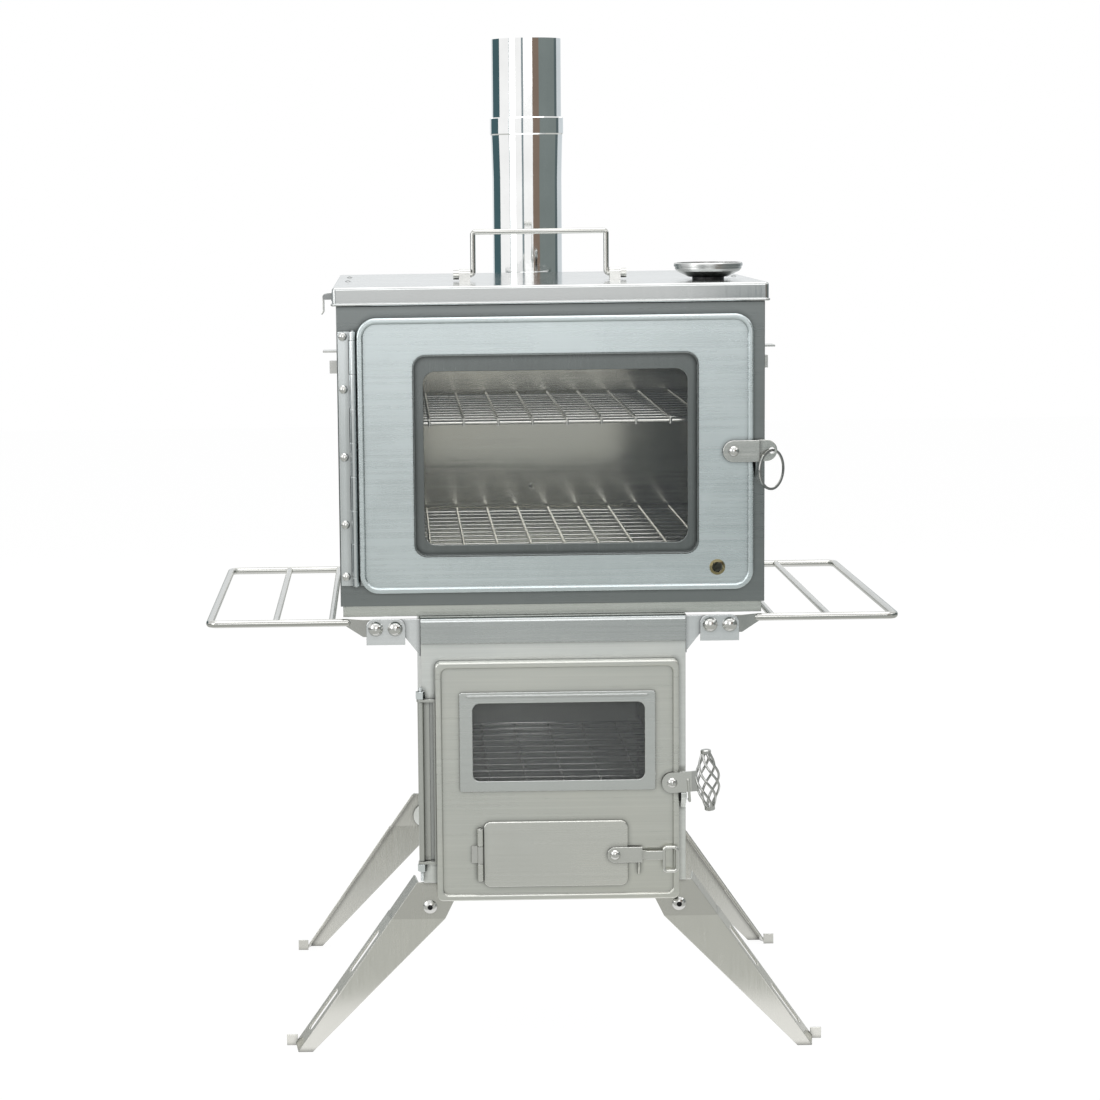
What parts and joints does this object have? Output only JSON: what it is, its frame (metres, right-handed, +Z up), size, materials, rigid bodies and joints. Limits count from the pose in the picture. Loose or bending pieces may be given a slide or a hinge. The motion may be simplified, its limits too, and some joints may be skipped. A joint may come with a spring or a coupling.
{
  "type": "folding camp oven",
  "caption": "Box oven with glazed door and two wire racks, standing on a folding-leg wood stove with fold-down side shelves and a sectional flue.",
  "frame": {"origin": "on the floor at the centre of the four legs' plates", "axes": "+X to the right seen from the doors, +Y from the doors to the back, +Z up"},
  "size_m": [0.5566, 0.4461, 0.834],
  "materials": {
    "stove_steel": "satin brushed stainless sheet",
    "stove_top_steel": "satin stainless sheet",
    "stove_door_steel": "satin brushed stainless sheet",
    "bracket_steel": "plain stainless",
    "leg_steel": "satin stainless, bright edges",
    "rivet_steel": "bright",
    "hinge_steel": "plain stainless",
    "tab_steel": "satin",
    "lever_steel": "satin",
    "clip_steel": "plain",
    "wire": "bright drawn wire",
    "rack_wire": "bright drawn wire",
    "flue_steel": "polished stainless tube",
    "oven_door_steel": "pale blue-grey brushed sheet",
    "oven_frame_steel": "satin",
    "oven_dark_steel": "dark satin sheet",
    "oven_side_steel": "satin sheet",
    "oven_hinge_steel": "plain stainless",
    "lid_steel": "polished sheet",
    "case_steel": "spun stainless",
    "magnet_black": "black magnet",
    "dial_face": "white printed dial",
    "needle_paint": "painted pointer",
    "smoked_glass": "smoke darkened heat-proof glass",
    "clear_glass": "clear heat-proof glass"
  },
  "bodies": {
    "stove": {"stove_body": "stove_steel", "stove_top": "stove_top_steel", "stove_front_frame": "stove_steel", "fire_grate": "wire", "grate_rails": "stove_steel", "leg_brackets": "bracket_steel", "leg_eyelets": "rivet_steel", "flue_collar": "flue_steel", "stove_hinge_barrel": "hinge_steel", "stove_hinge_pin": "hinge_steel", "shelf_tabs": "tab_steel", "shelf_gussets": "tab_steel", "shelf_rivets": "rivet_steel"},
    "leg_fl": {"leg_front_left": "leg_steel"},
    "leg_fr": {"leg_front_right": "leg_steel"},
    "leg_rl": {"leg_rear_left": "leg_steel"},
    "leg_rr": {"leg_rear_right": "leg_steel"},
    "flue_low": {"flue_lower": "flue_steel"},
    "flue_up": {"flue_upper": "flue_steel"},
    "stove_door": {"stove_door_panel": "stove_door_steel", "stove_door_hinge_bracket": "hinge_steel", "stove_window_frame": "stove_door_steel", "stove_window_glass": "smoked_glass", "stove_window_clips": "clip_steel", "stove_door_rivets": "rivet_steel", "ash_hinge_pin": "hinge_steel"},
    "stove_latch": {"stove_latch_handle": "wire"},
    "ash_flap": {"ash_door": "stove_door_steel", "ash_latch_rivet": "rivet_steel"},
    "ash_latch": {"ash_lever": "lever_steel"},
    "left_shelf": {"shelf_left": "wire"},
    "right_shelf": {"shelf_right": "wire"},
    "oven": {"oven_base": "oven_dark_steel", "oven_front_panel": "oven_dark_steel", "oven_side_left": "oven_side_steel", "oven_side_right": "oven_side_steel", "oven_back": "oven_side_steel", "rack_ledges": "oven_side_steel", "oven_frame_leaf": "oven_hinge_steel", "oven_hinge_pin": "oven_hinge_steel", "oven_hinge_screws": "rivet_steel"},
    "low_rack": {"rack_lower": "rack_wire"},
    "high_rack": {"rack_upper": "rack_wire"},
    "oven_door": {"oven_door_leaf": "oven_hinge_steel", "oven_door_panel": "oven_door_steel", "oven_window_frame": "oven_frame_steel", "oven_window_glass": "clear_glass", "oven_door_rivets": "rivet_steel"},
    "oven_latch": {"oven_latch_strap": "lever_steel"},
    "pull_ring": {"latch_ring": "rivet_steel"},
    "lid": {"oven_lid": "lid_steel", "lid_handle_posts": "tab_steel", "lid_rivets": "tab_steel", "thermometer_magnet": "magnet_black", "thermometer_case": "case_steel", "thermometer_dial": "dial_face", "thermometer_lens": "clear_glass"},
    "bail": {"lid_handle": "wire"},
    "hasp": {"lid_hasp": "lever_steel"},
    "needle": {"thermometer_needle": "needle_paint"}
  },
  "joints": [
    {"name": "leg_fl_fold", "type": "hinge", "parent": "stove", "child": "leg_fl", "pos_m": [-0.101, -0.1705, 0.122], "axis": [0, -1, 0], "range_deg": [0, 115]},
    {"name": "leg_rl_fold", "type": "hinge", "parent": "stove", "child": "leg_rl", "pos_m": [-0.101, 0.1705, 0.122], "axis": [0, -1, 0], "range_deg": [0, 115]},
    {"name": "leg_fr_fold", "type": "hinge", "parent": "stove", "child": "leg_fr", "pos_m": [0.101, -0.1705, 0.122], "axis": [0, -1, 0], "range_deg": [-115, 0]},
    {"name": "leg_rr_fold", "type": "hinge", "parent": "stove", "child": "leg_rr", "pos_m": [0.101, 0.1705, 0.122], "axis": [0, -1, 0], "range_deg": [-115, 0]},
    {"name": "left_shelf_fold", "type": "hinge", "parent": "stove", "child": "left_shelf", "pos_m": [-0.1418, -0.17, 0.3507], "axis": [0, -1, 0], "range_deg": [0, 90]},
    {"name": "right_shelf_fold", "type": "hinge", "parent": "stove", "child": "right_shelf", "pos_m": [0.1418, -0.17, 0.3507], "axis": [0, -1, 0], "range_deg": [-90, 0]},
    {"name": "flue_low_lift", "type": "slide", "parent": "stove", "child": "flue_low", "axis": [0, 0, 1], "range_m": [0, 0.03]},
    {"name": "flue_up_lift", "type": "slide", "parent": "flue_low", "child": "flue_up", "axis": [0, 0, 1], "range_m": [0, 0.03]},
    {"name": "stove_door_swing", "type": "hinge", "parent": "stove", "child": "stove_door", "pos_m": [-0.1068, -0.17805, 0.225], "axis": [0, 0, -1], "range_deg": [0, 110]},
    {"name": "stove_latch_turn", "type": "hinge", "parent": "stove_door", "child": "stove_latch", "pos_m": [0.094, -0.186, 0.2252], "axis": [0, -1, 0], "range_deg": [0, 20]},
    {"name": "ash_door_swing", "type": "hinge", "parent": "stove_door", "child": "ash_flap", "pos_m": [-0.0603, -0.186, 0.1682], "axis": [0, 0, -1], "range_deg": [0, 100]},
    {"name": "ash_latch_turn", "type": "hinge", "parent": "ash_flap", "child": "ash_latch", "pos_m": [0.048, -0.187, 0.167], "axis": [0, -1, 0], "range_deg": [0, 45]},
    {"name": "oven_lift", "type": "slide", "parent": "stove", "child": "oven", "axis": [0, 0, 1], "range_m": [0, 0.05]},
    {"name": "lower_rack_slide", "type": "slide", "parent": "oven", "child": "low_rack", "axis": [0, -1, 0], "range_m": [0, 0.006]},
    {"name": "upper_rack_slide", "type": "slide", "parent": "oven", "child": "high_rack", "axis": [0, -1, 0], "range_m": [0, 0.006]},
    {"name": "oven_door_swing", "type": "hinge", "parent": "oven", "child": "oven_door", "pos_m": [-0.1567, -0.1736, 0.49], "axis": [0, 0, -1], "range_deg": [0, 110]},
    {"name": "oven_latch_turn", "type": "hinge", "parent": "oven_door", "child": "oven_latch", "pos_m": [0.1435, -0.182, 0.4908], "axis": [0, -1, 0], "range_deg": [0, 13]},
    {"name": "pull_ring_swing", "type": "hinge", "parent": "oven_latch", "child": "pull_ring", "pos_m": [0.1742, -0.17755, 0.4908], "axis": [0, 1, 0], "range_deg": [-20, 20]},
    {"name": "lid_lift", "type": "slide", "parent": "oven", "child": "lid", "axis": [0, 0, 1], "range_m": [0, 0.05]},
    {"name": "bail_fold", "type": "hinge", "parent": "lid", "child": "bail", "pos_m": [-0.0028, -0.0629, 0.6291], "axis": [1, 0, 0], "range_deg": [-88, 88]},
    {"name": "hasp_swing", "type": "hinge", "parent": "lid", "child": "hasp", "pos_m": [-0.1784, -0.1355, 0.6155], "axis": [0, 1, 0], "range_deg": [0, 100]},
    {"name": "needle_turn", "type": "hinge", "parent": "lid", "child": "needle", "pos_m": [0.134, -0.0849, 0.635], "axis": [0, 0, 1], "range_deg": [-120, 120]}
  ]
}
